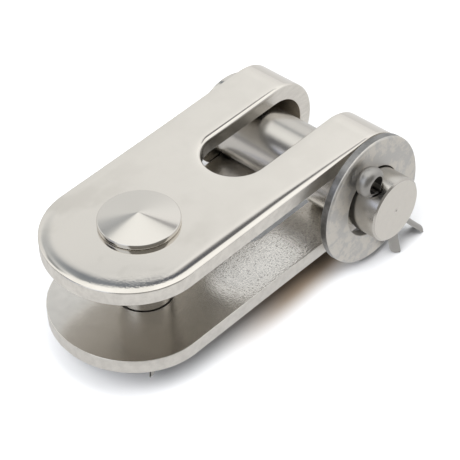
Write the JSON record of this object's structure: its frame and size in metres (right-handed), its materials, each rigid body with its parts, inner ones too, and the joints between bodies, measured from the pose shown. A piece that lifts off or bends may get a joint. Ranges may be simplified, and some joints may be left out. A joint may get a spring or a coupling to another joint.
{
  "type": "jaw-jaw toggle",
  "caption": "Folded steel strap with a fork jaw at each end, at right angles to each other, each closed by a cone-headed pin kept by a split cotter; links eyes in rigging.",
  "frame": {"origin": "on the jaw pin's axis, half way between the two cheeks of the strap", "axes": "+X along the strap from the jaw pin to the bend, +Y across the strap to the bend pin's head, +Z along the jaw pin to its head"},
  "size_m": [0.1068, 0.0658, 0.0412],
  "materials": {
    "strap_steel": "polished stainless plate with rolled edges",
    "pin_steel": "polished, turned end left satin",
    "washer_steel": "mottled tumbled face, bright rolled edge",
    "cotter_steel": "bright eye, dull legs"
  },
  "bodies": {
    "strap": {"strap": "strap_steel"},
    "jaw_pin": {"jaw_pin": "pin_steel", "jaw_cotter": "cotter_steel"},
    "bend_washer": {"bend_washer": "washer_steel"},
    "bend_pin": {"bend_pin": "pin_steel", "bend_cotter": "cotter_steel"}
  },
  "joints": [
    {"name": "jaw_pin_turn", "type": "hinge", "parent": "strap", "child": "jaw_pin", "pos_m": [0, 0, 0], "axis": [0, 0, 1], "continuous": true},
    {"name": "bend_pin_slide", "type": "slide", "parent": "strap", "child": "bend_washer", "axis": [1, 0, 0], "range_m": [-0.0429, 0.0045]},
    {"name": "bend_pin_turn", "type": "hinge", "parent": "bend_washer", "child": "bend_pin", "pos_m": [0.0605, 0, -0.00028], "axis": [0, 1, 0], "continuous": true}
  ]
}
